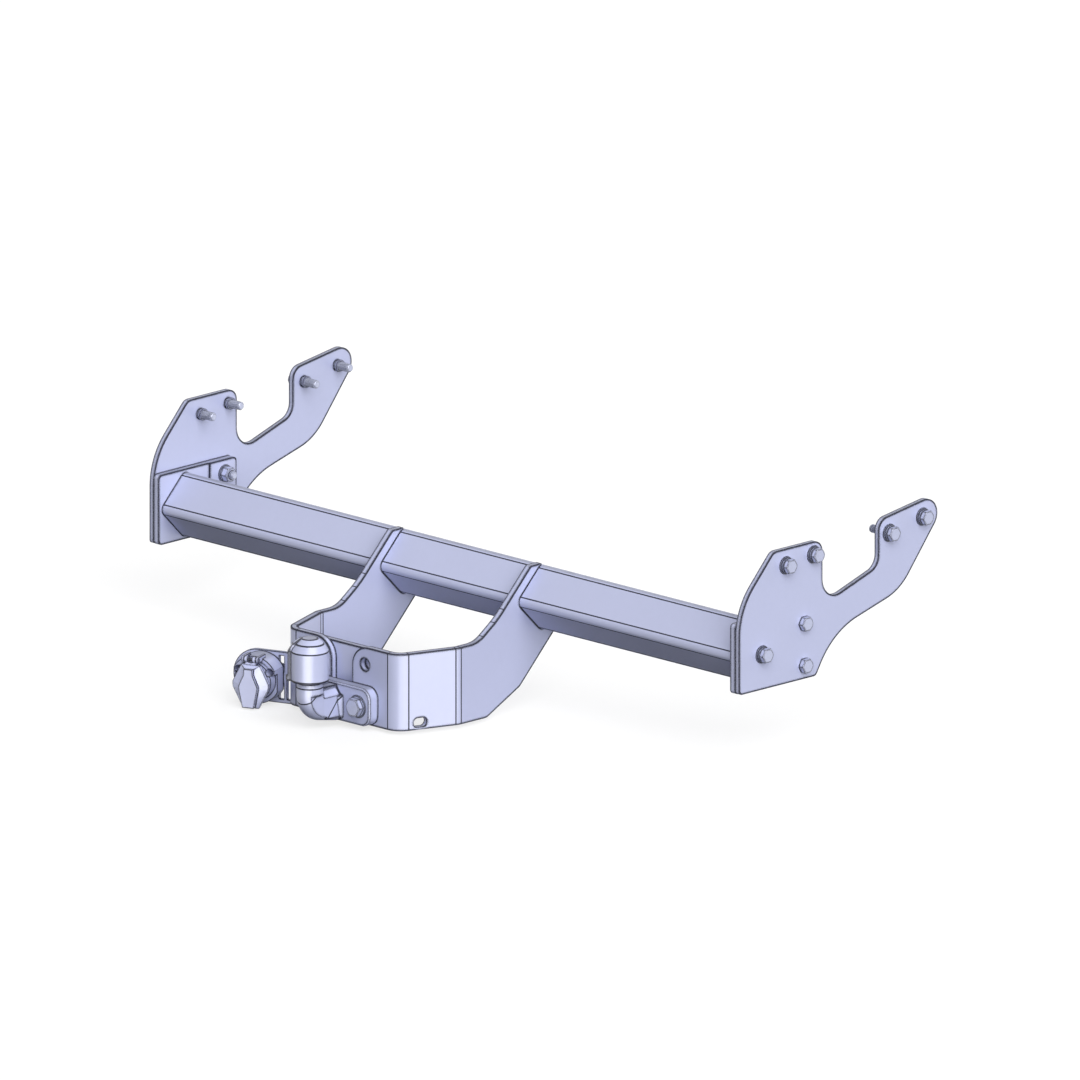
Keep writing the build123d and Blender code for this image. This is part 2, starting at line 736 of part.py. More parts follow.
def biarc(start, start_way, end, end_way):
    """Two arcs that leave start and reach end along the given unit directions."""
    chord = end - start
    ways = start_way + end_way
    bend = 2 * (1 - start_way.dot(end_way))
    reach = (math.sqrt(chord.dot(ways) ** 2 + bend * chord.dot(chord)) - chord.dot(ways)) / bend
    before, after = start + start_way * reach, end - end_way * reach
    middle = (before + after) * 0.5
    return [TangentArc(start, middle, tangent=start_way),
            TangentArc(middle, end, tangent=(after - before).normalized())]


def coil_path(radius, span, turns):
    """A helix about Z in quarter turns, with a straight leg on each end."""
    rise = span / (4 * turns)
    spots = [Vector(radius * math.cos(k * math.pi / 2), radius * math.sin(k * math.pi / 2), k * rise)
             for k in range(4 * turns + 1)]
    climb = rise / (math.pi / 2)
    ways = [Vector(-spot.Y, spot.X, climb).normalized() for spot in spots]
    runs = [Line(spots[0] - ways[0] * spring_leg, spots[0])]
    for k in range(4 * turns):
        runs += biarc(spots[k], ways[k], spots[k + 1], ways[k + 1])
    runs.append(Line(spots[-1], spots[-1] + ways[-1] * spring_leg))
    return Wire([edge for run in runs for edge in run.edges()])


def least_gap(path, turns):
    """The smallest gap between turns, measured on points at least half a turn apart."""
    steps = 24 * turns
    spots = [path @ (k / steps) for k in range(steps + 1)]
    return min((spots[i] - spots[j]).length for i in range(steps) for j in range(i + 12, steps + 1)
               ) - spring_wire


def lid_spring():
    """A coil round the pin, between the lid's two barrels."""
    span = 2 * (spring_half_width - spring_end_gap) - spring_wire
    radius = hinge_pin_radius + spring_clearance + spring_wire / 2
    path = coil_path(radius, span, spring_turns)
    print("lid_spring least gap to itself", round(least_gap(path, spring_turns), 3))
    coil = sweep(Plane(origin=path @ 0, z_dir=path % 0) * Circle(spring_wire / 2), path=path)
    stand = Plane(origin=(-span / 2, -hinge_reach, hinge_level), x_dir=(0, 1, 0), z_dir=(1, 0, 0))
    return stand * coil


def socket_screws():
    head_radius, head_height = socket_screw_head
    seat = -flange_front + 8
    length = -seat + socket_plate_thick + socket_nut[1] + socket_screw_tail
    screws = []
    for x, z in screw_places():
        place = Plane(origin=(x, seat, z), x_dir=(1, 0, 0), z_dir=(0, -1, 0))
        head = Cylinder(head_radius, head_height, align=XY_FLOOR)
        head = fillet(head.edges().sort_by(Axis.Z)[-1], head_height / 2)
        shank = Cylinder(socket_screw_radius, length, align=(Align.CENTER, Align.CENTER, Align.MAX))
        screws.append(place * (head + shank))
    return group(screws)


def socket_nuts():
    flats, height = socket_nut
    return group([Plane(origin=(x, socket_plate_thick, z), x_dir=(1, 0, 0), z_dir=(0, 1, 0))
                  * nut(flats, socket_screw_radius, height) for x, z in screw_places()])


def mirrored(shape):
    return mirror(shape, about=Plane.YZ)


def all_nodes():
    nodes = {
        "cross_beam": cross_beam(),
        "centre_plate": centre_plate(),
        "tow_ball": tow_ball(),
        "ball_cap": ball_cap(),
    }
    nodes.update(ball_hardware())
    sides = {"end_plate": end_plate(), "side_arm": side_arm(), "cheek_plate": cheek_plate()}
    sides.update(chassis_hardware())
    sides.update(end_plate_hardware())
    for name, shape in sides.items():
        nodes["right_" + name] = shape
        nodes["left_" + name] = mirrored(shape)
    makers = [socket_plate, socket_gasket, socket_housing, contact_insert, contact_pins,
              socket_lid, lid_seal, lid_hinge_pin, lid_spring, socket_screws, socket_nuts]
    for maker in makers:
        nodes[maker.__name__] = socket_place() * maker()
    return nodes


os.makedirs("parts", exist_ok=True)
for name, shape in all_nodes().items():
    export_step(shape, f"parts/{name}.step")
    print(name, len(shape.solids()), round(sum(s.volume for s in shape.solids())))
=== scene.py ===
# %% [markdown]
# # A rear tow bar
# This lesson dresses a tow bar that arrives as a fixed CAD frame: a square beam turned on edge, two side
# arms, two bent cheek plates, a capped tow ball and a trailer socket with a sprung lid. The frame holds the
# sizes. Blender adds the finishes, the screw threads and the light. Everything is in metres, with X along
# the beam, Y forward towards the vehicle and Z up. The ball's centre is the origin.

# %% The fixed frame
import json
import math
from functools import reduce

import bmesh
import bpy
from mathutils import Matrix, Vector


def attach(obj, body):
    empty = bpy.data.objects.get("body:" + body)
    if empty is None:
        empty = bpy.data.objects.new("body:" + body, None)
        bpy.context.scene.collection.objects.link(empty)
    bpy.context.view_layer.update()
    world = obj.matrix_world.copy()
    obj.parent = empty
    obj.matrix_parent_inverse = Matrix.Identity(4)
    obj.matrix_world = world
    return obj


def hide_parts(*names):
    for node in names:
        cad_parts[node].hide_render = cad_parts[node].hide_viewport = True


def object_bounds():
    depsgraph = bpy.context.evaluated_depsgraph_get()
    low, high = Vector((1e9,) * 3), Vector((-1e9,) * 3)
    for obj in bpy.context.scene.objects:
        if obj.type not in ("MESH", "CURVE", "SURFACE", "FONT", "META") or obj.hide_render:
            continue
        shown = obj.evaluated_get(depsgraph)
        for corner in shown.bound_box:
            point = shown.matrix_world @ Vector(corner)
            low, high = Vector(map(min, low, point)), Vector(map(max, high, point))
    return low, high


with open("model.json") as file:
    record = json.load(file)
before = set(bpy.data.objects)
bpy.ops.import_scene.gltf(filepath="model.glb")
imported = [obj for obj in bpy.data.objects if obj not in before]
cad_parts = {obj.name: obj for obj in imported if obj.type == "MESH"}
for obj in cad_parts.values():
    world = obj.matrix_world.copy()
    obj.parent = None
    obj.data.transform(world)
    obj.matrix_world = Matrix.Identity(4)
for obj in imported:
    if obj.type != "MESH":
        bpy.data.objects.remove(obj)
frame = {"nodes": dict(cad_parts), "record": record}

nodes = frame["nodes"]
cad_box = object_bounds()
print(len(nodes), "nodes, box", [round(v, 3) for corner in cad_box for v in corner])

# %% [markdown]
# ## Sizes that the finishes need
# A finish can draw a line where a flat runs into a bend, but a shader knows only where a point is. So the
# few lengths that place those lines are written once here, in millimetres as a maker would say them.

# %% Lengths of the beam and the bent plates
MM = 0.001
BEAM_AXIS = (314.6 * MM, 53.75 * MM)    # forward of the ball and above it
BEAM_FLAT = 25.0 * MM                   # from the middle of a side to its rounded corner
CHEEK_OUTSIDE = 140.0 * MM              # from the middle of the bar to a cheek's long side
CHEEK_FACE = 62.6 * MM                  # from the ball to the flanges' rear face
SPLAY_RUN = 88.9 * MM                   # how far forward the slanting part reaches
SPLAY = math.radians(20)
BEND_RADIUS = 26.0 * MM
PLATE = 10.0 * MM
print("the plates bend outwards by", round(math.degrees(SPLAY)), "degrees")

# %% [markdown]
# ## Shader sums
# A procedural finish is mostly arithmetic on positions. Wiring every Math node by hand hides the formula, so
# a small class wraps a node's output and lets Python's operators add the nodes. `1 - mask` works too,
# because the reflected forms are there.


# %% Values that can be added, scaled and compared
class Value:
    """One output of a node. An operator on it adds a Math node to the same wiring."""

    def __init__(self, wiring, socket):
        self.wiring, self.socket = wiring, socket

    def math(self, operation, *operands):
        return self.wiring.add("Math", {"operation": operation}, dict(enumerate(operands)))

    def __add__(self, other):
        return self.math("ADD", self, other)

    def __radd__(self, other):
        return self.math("ADD", other, self)

    def __sub__(self, other):
        return self.math("SUBTRACT", self, other)

    def __rsub__(self, other):
        return self.math("SUBTRACT", other, self)

    def __mul__(self, other):
        return self.math("MULTIPLY", self, other)

    def __rmul__(self, other):
        return self.math("MULTIPLY", other, self)

    def __lt__(self, other):
        return self.math("LESS_THAN", self, other)

    def __gt__(self, other):
        return self.math("GREATER_THAN", self, other)

    def __abs__(self):
        return self.math("ABSOLUTE", self)

    def root(self):
        return self.math("SQRT", self)

    def either(self, other):
        return self.math("MAXIMUM", self, other)

    def outputs(self, *names):
        """Other outputs of the same node."""
        return [Value(self.wiring, self.socket.node.outputs[name]) for name in names]


def any_of(masks):
    """1 where any of the masks is 1."""
    return reduce(Value.either, masks)


print("sums ready")

# %% [markdown]
# ## A finish is a material
# Each finish on the bar becomes one material. Its nodes all come from one method, which sets a node up
# before it is wired. Patterns are placed by Object coordinates, which stay with the metal when a joint
# moves, so the grain doesn't swim over the cap when it lifts.


# %% Wiring, and finishes made of it
MIX_MASK, MIX_FIRST, MIX_SECOND, MIX_COLOUR = 0, 6, 7, 2     # the Mix node's sockets for colours


class Wiring:
    """An empty node tree, with one way to add any node."""

    def __init__(self, tree):
        self.tree = tree
        tree.nodes.clear()

    def add(self, kind, settings=None, inputs=None, output=0):
        node = self.tree.nodes.new("ShaderNode" + kind)
        for name, setting in (settings or {}).items():
            setattr(node, name, setting)
        for key, value in (inputs or {}).items():
            if isinstance(value, Value):
                self.tree.links.new(value.socket, node.inputs[key])
            else:
                node.inputs[key].default_value = value
        return Value(self, node.outputs[output]) if node.outputs else None


class Finish(Wiring):
    """A material under construction, with its position on the object at hand."""

    def __init__(self, name):
        self.material = bpy.data.materials.new(name)
        self.material.use_nodes = True
        super().__init__(self.material.node_tree)
        self.place = self.add("TexCoord", output="Object")
        self.x, self.y, self.z = self.add("SeparateXYZ", inputs={0: self.place}).outputs(*"XYZ")

    def noise(self, size, detail=2.0):
        """Smooth noise whose blotches are about `size` metres across."""
        return self.add("TexNoise", inputs={"Vector": self.place, "Scale": 1 / size, "Detail": detail})

    def mix(self, mask, first, second):
        """`first` where the mask is 0 and `second` where it is 1."""
        first, second = (part if isinstance(part, Value) else (*part, 1) for part in (first, second))
        return self.add("Mix", {"data_type": "RGBA"},
                        {MIX_MASK: mask, MIX_FIRST: first, MIX_SECOND: second}, output=MIX_COLOUR)

    def bump(self, height, depth, strength):
        return self.add("Bump", inputs={"Strength": strength, "Distance": depth, "Height": height})

    def surface(self, colour, roughness, normal, **sockets):
        shader = self.add("BsdfPrincipled", inputs={
            "Base Color": colour, "Roughness": roughness, "Normal": normal, **sockets})
        self.add("OutputMaterial", inputs={"Surface": shader})
        return self.material


print("finish builder ready")

# %% [markdown]
# ## Dark edges
# Every edge of the real bar reads as a thin dark line: paint draws back from a sharp corner as it cures, and
# dirt stays beside it. Drawing the lines on the mesh would need a separate map for each part. The Bevel
# node finds edges by itself: near one it returns a rounded normal, and where that turns away from the
# face's own normal the mask is on. Ambient occlusion adds painted shade in the narrow gaps where two
# pieces touch.


# %% Masks for edges, and for painted shade at contacts
EDGE_WIDTH = 6.4 * MM
SHARP, BLUNT = 0.957, 0.992             # cosines between the rounded and the flat normal
# painted shade at a contact: how far it reaches, as a share of the edge's width
CONTACT_SHADE_SHARE = 0.34                    # a contact's dark line, as a share of an edge's
CLOSED_IN, OPEN_TO_SKY = 0.66, 0.86     # the share of open sky over a point
# the dark colour of the edge lines, and of the painted shade at contacts and under the cap's rim
INK = (0.010, 0.010, 0.018)


def fade(finish, value, start, end, low=0.0, high=1.0):
    """`low` up to `start` and `high` from `end` on, with a smooth step between."""
    return finish.add("MapRange", {"interpolation_type": "SMOOTHSTEP"},
                      {"Value": value, "From Min": start, "From Max": end, "To Min": low, "To Max": high})


def edge_mask(finish, width, sharp, blunt):
    """1 where the rounded normal turns away from the flat one by the cosine `sharp`, 0 from `blunt` on."""
    rounded = finish.add("Bevel", {"samples": 8}, {"Radius": width})
    flat = finish.add("NewGeometry", output="Normal")
    likeness = finish.add("VectorMath", {"operation": "DOT_PRODUCT"}, {0: rounded, 1: flat}, output="Value")
    return fade(finish, likeness, sharp, blunt, 1.0, 0.0)


def contact_shade_mask(finish, width):
    """Painted shade: 1 where another surface stands closer than about `width`, found by ambient occlusion.
    """
    open_sky = finish.add("AmbientOcclusion", {"samples": 6}, {"Distance": width}, output="AO")
    return fade(finish, open_sky, CLOSED_IN, OPEN_TO_SKY, 1.0, 0.0)


def ink_and_shade_mask(finish, edge, contact=None, sharp=SHARP, blunt=BLUNT, lines=None):
    """Edges, painted shade at contacts, and any lines that a piece has of its own."""
    # the contact part is painted shade: the colour darkens where ambient occlusion finds another surface
    # close by
    ink = edge_mask(finish, edge, sharp, blunt).either(contact_shade_mask(finish, contact or edge * CONTACT_SHADE_SHARE))
    return ink.either(lines(finish)) if lines else ink


print("the bevel is", EDGE_WIDTH / MM, "mm, contacts reach", round(EDGE_WIDTH * CONTACT_SHADE_SHARE / MM, 1), "mm")

# %% [markdown]
# ## Lines without an edge
# Where a flat runs into a bend the real plate shows a fine line too, but there is no edge for the Bevel
# node to find. Those lines come from the position: a point is on a line when its distance from it is small.
# The same idea draws the forging's seam and the short cuts that the torch left in the cheeks' edges.


# %% Where a surface looks, and how far it is from a line
BEND_LINE = 1.0 * MM                    # half a line's width


def facing(finish, axis):
    """1 on faces that look straight along an axis, 0 on those beside it, -1 on those that look back."""
    normal = finish.add("NewGeometry", output="Normal")
    return finish.add("SeparateXYZ", inputs={0: normal}, output=axis)


def on_line(distance, half_width=BEND_LINE):
    return abs(distance) < half_width


def along_and_across(run, rise, way):
    """A position measured along a direction, and square to it."""
    return run * way.x + rise * way.y, rise * way.x - run * way.y


print("bend lines are", 2 * BEND_LINE / MM, "mm wide")


# %% Lines of the beam and the cheek plates
CHEEK_REACH = PLATE * 1.2               # lets a line pass right through the plate and no further
SWEEP_JOINTS = ((240.5 * MM, 48.4 * MM, 45), (222.3 * MM, 32.9 * MM, 34),
                (198.8 * MM, 19.4 * MM, 26))     # forward, up and the edge's slope in degrees
TICK_HALF_WIDTH, TICK_REACH = 0.8 * MM, 6 * MM


def beam_lines(finish):
    """Eight lines along the tube, at both ends of each rounded corner."""
    forward, up = finish.y - BEAM_AXIS[0], finish.z - BEAM_AXIS[1]
    half = math.sqrt(0.5)
    along, across = (forward + up) * half, (up - forward) * half
    return on_line(abs(along) - BEAM_FLAT).either(on_line(abs(across) - BEAM_FLAT))


def bend_tangents():
    """The four places in plan, with the flat's direction, where a cheek plate starts or stops bending."""
    corner = Vector((CHEEK_OUTSIDE - SPLAY_RUN * math.tan(SPLAY), CHEEK_FACE))
    upper = Vector((CHEEK_OUTSIDE, CHEEK_FACE + SPLAY_RUN))
    slant = (upper - corner).normalized()
    small = BEND_RADIUS * math.tan(SPLAY / 2)
    large = BEND_RADIUS * math.tan((math.pi / 2 - SPLAY) / 2)
    return [(upper + Vector((0, small)), Vector((0, 1))), (upper - slant * small, slant),
            (corner + slant * large, slant), (corner - Vector((large, 0)), Vector((1, 0)))]


def sweep_ticks(finish):
    """Short cuts across the plate's edge, where the torch changed from one curve to the next."""
    ticks = []
    for forward, up, slope in SWEEP_JOINTS:
        way = Vector((math.cos(math.radians(slope)), math.sin(math.radians(slope))))
        along, across = along_and_across(finish.y - forward, finish.z - up, way)
        ticks.append(on_line(along, TICK_HALF_WIDTH) * on_line(across, TICK_REACH))
    on_the_edge = abs(facing(finish, "X")) < 0.5
    return any_of(ticks) * on_the_edge


def cheek_lines(finish):
    """Upright lines at the ends of both bends, and the cuts on the edge."""
    side, masks = abs(finish.x), [sweep_ticks(finish)]
    for place, flat in bend_tangents():
        along, through = along_and_across(side - place.x, finish.y - place.y, flat)
        masks.append(on_line(along) * (abs(through) < CHEEK_REACH))
    return any_of(masks)


print("bend lines:", [tuple(round(v / MM, 1) for v in place) for place, _ in bend_tangents()])


# %% Lines of the forging
NECK_RING = -42.0 * MM
SEAM_LEVEL, SEAM_SLOPE, SEAM_END, SEAM_HALF_WIDTH = -53.2 * MM, 0.654, 2 * MM, BEND_LINE * 1.2
CREASE_FOOT = (45.4 * MM, -59.5 * MM)   # forward and up, where the crease meets the flange
CREASE_WAY = (0.637, 0.771)
CREASE_END, WEB_SIDE = 45.2 * MM, 12 * MM
# painted shade: a dark band round the neck just under the cap's rim, its height and half its width
RIM_SHADE_LEVEL, RIM_SHADE_HALF_WIDTH = -34.8 * MM, 1.9 * MM


def forging_lines(finish):
    """The neck's ring, the seam where the bend begins, a crease, and painted shade just under the cap's rim.
    """
    ring = on_line(finish.z - NECK_RING)
    seam = on_line(finish.z - SEAM_LEVEL - finish.y * SEAM_SLOPE, SEAM_HALF_WIDTH) * (finish.y < SEAM_END)
    run, rise = finish.y - CREASE_FOOT[0], finish.z - CREASE_FOOT[1]
    crease = on_line(run * CREASE_WAY[1] - rise * CREASE_WAY[0])
    crease = crease * (abs(finish.x) > WEB_SIDE) * (finish.y < CREASE_END) * (rise < 0)
    # painted shade under the cap's rim, drawn in the dark ink colour
    rim_shade = on_line(finish.z - RIM_SHADE_LEVEL, RIM_SHADE_HALF_WIDTH)
    return any_of([ring, seam, crease, rim_shade])


print("the neck's ring is", -NECK_RING / MM, "mm below the ball's centre")

# %% [markdown]
# ## Powder coat
# The beam, arms and plates wear one pale lavender powder coat. Powder coat is never quite even: its colour
# drifts by a few percent over a hand's width, it cures into a faint orange peel about a millimetre across,
# and it is a little rougher where it is thin. Each of these is one noise at its own scale. The clear gloss
# on top is wiped and washed only where a hand or the rain reaches, so faces that look down stay dull, and
# dust dulls the level tops.


# %% Dirt and wear
LAVENDER = (0.462, 0.492, 0.700)
DUST = (0.215, 0.225, 0.285)
DUST_PATCH, DUST_LEAST, DUST_SPREAD = 25 * MM, 0.5, 0.4
WEB_FROM, WEB_TO = 14 * MM, 46 * MM     # forward of the ball
FLAT_DULLNESS, WEB_DULLNESS = 0.45, 0.75


def tinted(colour, share):
    """The colour made lighter or darker."""
    return tuple(channel * share for channel in colour)


def washed(finish):
    """1 on faces that look up or sideways, 0 on those that look down."""
    return fade(finish, facing(finish, "Z"), -0.55, -0.15)


def dusty(finish):
    """Dust settles on level tops, thicker in some places than in others."""
    level = fade(finish, facing(finish, "Z"), 0.80, 0.97)
    return level * (finish.noise(DUST_PATCH, 3.0) * DUST_SPREAD + DUST_LEAST)


def plain_flats(finish):
    """The cheek plates' long sides and flanges, which are rubbed less than the bends between them."""
    (side_end, _), *_, (flange_end, _) = bend_tangents()
    return (finish.y > side_end.y).either(abs(finish.x) < flange_end.x) * FLAT_DULLNESS


def rough_web(finish):
    """The forging's web and the flange's face are left as they came from the hammer."""
    return (finish.y > WEB_FROM) * (finish.y < WEB_TO) * WEB_DULLNESS


print("paint", LAVENDER, "dust", DUST)


# %% Powder coat
GLOSS = {"Coat IOR": 2.0, "Coat Roughness": 0.26, "Specular IOR Level": 0.22}
GLOSS_WEIGHT = 0.6
PALE, DEEP, SPECK = 1.045, 0.945, 0.72  # shares of the colour
WIDE_DRIFT, CLOSE_DRIFT = 140 * MM, 9 * MM
SPECK_SIZE, SPECK_COVER = 1.4 * MM, 0.22
PEEL_SIZE, PIT_SIZE, PEEL_DEPTH = 0.9 * MM, 4 * MM, 0.16 * MM
INK_COVER = 0.95
ROUGHNESS, PATCHY, INKY, UNWASHED = 0.46, 0.12, 0.2, 0.22    # the coat's own, and what each adds


def powder_coat(name, lines=None, pits=0.0, edge=EDGE_WIDTH, dull=None):
    finish = Finish(name)
    drift = finish.noise(WIDE_DRIFT, 3.0) * 0.6 + finish.noise(CLOSE_DRIFT, 4.0) * 0.4
    deep = tinted(LAVENDER, DEEP)
    coat = finish.mix(drift, deep, tinted(LAVENDER, PALE))
    specks = fade(finish, finish.noise(SPECK_SIZE), 0.68, 0.74, 0.0, SPECK_COVER)
    coat = finish.mix(specks, coat, tinted(deep, SPECK))
    dust = dusty(finish)
    coat = finish.mix(dust, coat, DUST)
    ink = ink_and_shade_mask(finish, edge, lines=lines)
    # the ink mixes in edge lines and painted shade at contacts; on the forging it also carries painted shade
    # under the cap's rim
    colour = finish.mix(ink * INK_COVER, coat, INK)
    clean = washed(finish)
    roughness = finish.noise(30 * MM, 3.0) * PATCHY + ink * INKY + (1 - clean) * UNWASHED + ROUGHNESS
    height = finish.noise(PEEL_SIZE, 1.0) * 0.35 + finish.noise(PIT_SIZE, 5.0) * pits
    normal = finish.bump(height, PEEL_DEPTH, 0.5)
    gloss = clean * GLOSS_WEIGHT * (1 - ink) * (1 - dust)
    if dull:
        gloss = gloss * (1 - dull(finish))
    return finish.surface(colour, roughness, normal, **{"Coat Weight": gloss}, **GLOSS)


beam_paint = powder_coat("beam_powder_coat", beam_lines)
arm_paint = powder_coat("arm_powder_coat")
cheek_paint = powder_coat("cheek_powder_coat", cheek_lines, dull=plain_flats)
plate_paint = powder_coat("plate_powder_coat")
small_plate_paint = powder_coat("socket_plate_powder_coat", edge=3.0 * MM)
forging_paint = powder_coat("forging_powder_coat", forging_lines, pits=0.8, dull=rough_web)
print("powder coats:", [paint.name for paint in (beam_paint, arm_paint, cheek_paint, plate_paint,
                                                  small_plate_paint, forging_paint)])

# %% [markdown]
# ## Zinc, wire and brass
# The bolts are plated with zinc, which grows in small crystals that catch light differently: a Voronoi
# pattern a millimetre across gives each crystal a shade of its own. The spring's wire and the brass contact
# pins are the same idea in another colour, and more metallic.


# %% Plated finishes
CRYSTAL = 1.1 * MM
CRYSTAL_DEPTH = 0.03 * MM
PLATED_INK_COVER = 0.92
PLATED_ROUGHNESS = 0.30


def zinc_plate(name, colour, metal=0.35, edge=3.6 * MM, contact=1.2 * MM):
    finish = Finish(name)
    crystals = finish.add("TexVoronoi", {"feature": "F1"}, {"Vector": finish.place, "Scale": 1 / CRYSTAL},
                          output="Color")
    grain = finish.add("SeparateColor", inputs={0: crystals})
    shade = grain * 0.7 + finish.noise(6 * MM, 4.0) * 0.3
    plate = finish.mix(shade, tinted(colour, 0.90), tinted(colour, 1.06))
    ink = ink_and_shade_mask(finish, edge, contact, sharp=0.965, blunt=0.994)
    # the ink mixes in edge lines and painted shade where another piece touches
    tone = finish.mix(ink * PLATED_INK_COVER, plate, INK)
    roughness = shade * 0.14 + PLATED_ROUGHNESS
    normal = finish.bump(grain, CRYSTAL_DEPTH, 0.4)
    return finish.surface(tone, roughness, normal, Metallic=(1 - ink) * metal)


zinc = zinc_plate("zinc_plate", (0.50, 0.53, 0.70))
zinc_thread = zinc_plate("zinc_thread", (0.52, 0.55, 0.70), edge=0.9 * MM, contact=0.9 * MM)
steel_wire = zinc_plate("spring_steel_wire", (0.46, 0.48, 0.58), metal=0.8)
brass = zinc_plate("contact_brass", (0.62, 0.52, 0.26), metal=0.9)
print("plated:", [metal.name for metal in (zinc, zinc_thread, steel_wire, brass)])

# %% [markdown]
# ## Plastic and rubber
# The ball's cap and the socket are moulded plastic with a fine spark-eroded grain, and the gasket is the
# same with a coarser grain, darker and duller. A smooth Voronoi pattern looks like that grain, and one
# function makes them all. The cap has rings where its shoulder and rim begin, and its lug and lip behind
# it are darker, as painted shade.


# %% Moulded finishes
SATIN = {**GLOSS, "Coat Roughness": 0.34}
# painted shade on the cap's lug and lip: its darker colour, which dust on the cap also takes, and how much
# of it covers the lug
CAP_DUST_AND_SHADE, LUG_SHADE_COVER = tinted(DUST, 0.6), 0.95
MOULD_DEPTH = 0.03 * MM
CAP_WALL = 26.7 * MM                    # past this radius is only the lug and its lip
CAP_TOP, TOP_RING, TOP_RING_HALF_WIDTH = 26.5 * MM, 11.2 * MM, 1.4 * MM
CAP_RINGS = ((19.8 * MM, BEND_LINE), (9.1 * MM, BEND_LINE), (-31.6 * MM, 1.5 * MM))


def from_ball_axis(finish):
    return (finish.x * finish.x + finish.y * finish.y).root()


def cap_lines(finish):
    """Rings where the cap's shoulder, cone and rolled rim begin, and round its flat top."""
    top = on_line(from_ball_axis(finish) - TOP_RING, TOP_RING_HALF_WIDTH) * (finish.z > CAP_TOP)
    return any_of([top] + [on_line(finish.z - level, half_width) for level, half_width in CAP_RINGS])


def cap_dust_and_lug_shade(finish):
    """Dust on top, and painted shade on the lug and lip behind the cap."""
    # past the cap's wall the lug and lip are painted darker, as painted shade
    return dusty(finish).either((from_ball_axis(finish) > CAP_WALL) * LUG_SHADE_COVER)


def moulded(name, colour, roughness=0.42, shine=0.6, grain=0.55 * MM, edge=4.5 * MM, lines=None,
            dust_and_shade=dusty, dust_and_shade_colour=DUST):
    finish = Finish(name)
    cells = finish.add("TexVoronoi", {"feature": "SMOOTH_F1"},
                       {"Vector": finish.place, "Scale": 1 / grain, "Smoothness": 0.6}, output="Distance")
    haze = finish.noise(22 * MM, 4.0)
    body = finish.mix(haze, tinted(colour, 0.95), tinted(colour, 1.05))
    body = finish.mix(cells * 0.18, body, tinted(colour, 0.86))
    # on the cap this mask also paints shade on the lug and lip, besides dust on level tops
    dust = dust_and_shade(finish)
    body = finish.mix(dust, body, dust_and_shade_colour)
    ink = ink_and_shade_mask(finish, edge, sharp=0.955, lines=lines)
    # the ink mixes in edge lines and painted shade where another piece touches
    tone = finish.mix(ink * INK_COVER, body, INK)
    rough = haze * 0.10 + cells * 0.08 + roughness - 0.08
    normal = finish.bump(cells, MOULD_DEPTH, 0.6)
    gloss = washed(finish) * shine * (1 - ink) * (1 - dust)
    return finish.surface(tone, rough, normal, **{"Coat Weight": gloss}, **SATIN)


# the cap's lug and lip get painted shade, in the darker colour that dust on the cap also takes
cap_plastic = moulded("cap_plastic", LAVENDER, roughness=0.34, lines=cap_lines, dust_and_shade=cap_dust_and_lug_shade, dust_and_shade_colour=CAP_DUST_AND_SHADE)
socket_plastic = moulded("socket_plastic", LAVENDER, edge=3.2 * MM)
lid_plastic = moulded("lid_plastic", tinted(LAVENDER, 1.2), edge=3.2 * MM)
retainer_plastic = moulded("retainer_plastic", tinted(LAVENDER, 0.9), edge=3.0 * MM)
rubber = moulded("gasket_rubber", (0.16, 0.17, 0.23), roughness=0.62, shine=0.1, grain=0.9 * MM)
print("moulded:", [plastic.name for plastic in (cap_plastic, socket_plastic, lid_plastic,
                                                retainer_plastic, rubber)])

# %% [markdown]
# ## Dressing the frame
# The CAD solids keep their shape, so a finish is put on by filling their material slots. A dictionary from
# the record's slot to a finish keeps the choice in one place, and a few nodes that need lines or a tone of
# their own override it.

# %% Each node takes its finish
slot_finish = {
    "beam_paint": plate_paint, "arm_paint": arm_paint, "bracket_paint": plate_paint,
    "forged_steel": forging_paint, "zinc": zinc, "cap_plastic": cap_plastic,
    "retainer_plastic": retainer_plastic, "socket_plastic": socket_plastic, "gasket_rubber": rubber,
    "contact_brass": brass, "spring_steel": steel_wire,
}
own_finish = {"cross_beam": beam_paint, "left_cheek_plate": cheek_paint, "right_cheek_plate": cheek_paint,
              "socket_plate": small_plate_paint, "socket_lid": lid_plastic}
for subpart in frame["record"]["subparts"]:
    node = nodes[subpart["node"]]
    finish = own_finish.get(node.name, slot_finish[subpart["material_slot"]])
    for slot in node.material_slots:
        slot.material = finish
    if not node.material_slots:
        node.data.materials.append(finish)

# %% [markdown]
# ## Where each bolt is
# The frame's bolts are plain pins with a hexagonal head. They get real threads here, because the threaded
# tails stand out from the arms and catch the eye. Nothing is placed by hand: every bolt in the frame is a
# separate shell in its node's mesh, so its box gives its place, and the tip and the head along a given axis.


# %% Boxes of the separate shells in a node
SAME_PLACE = 1e-6                       # corners closer than this are one


def shells(name):
    """(lowest corner, highest corner) of each closed shell in a CAD node."""
    welded = bmesh.new()
    welded.from_mesh(nodes[name].data)
    bmesh.ops.remove_doubles(welded, verts=welded.verts, dist=SAME_PLACE)
    left, boxes = set(welded.verts), []
    while left:
        front, shell = [left.pop()], []
        while front:
            corner = front.pop()
            shell.append(corner.co.copy())
            near = {edge.other_vert(corner) for edge in corner.link_edges} & left
            left -= near
            front.extend(near)
        boxes.append(tuple(Vector(pick(place[axis] for place in shell) for axis in range(3))
                           for pick in (min, max)))
    welded.free()
    return sorted(boxes, key=lambda box: tuple(round(v, 4) for v in box[0]))


for name in ("left_chassis_bolts", "right_end_plate_bolts", "ball_bolts"):
    boxes = shells(name)
    low, high = boxes[0]
    print(name, len(boxes), "shells, the first", [round(v / MM, 1) for v in high - low], "mm")

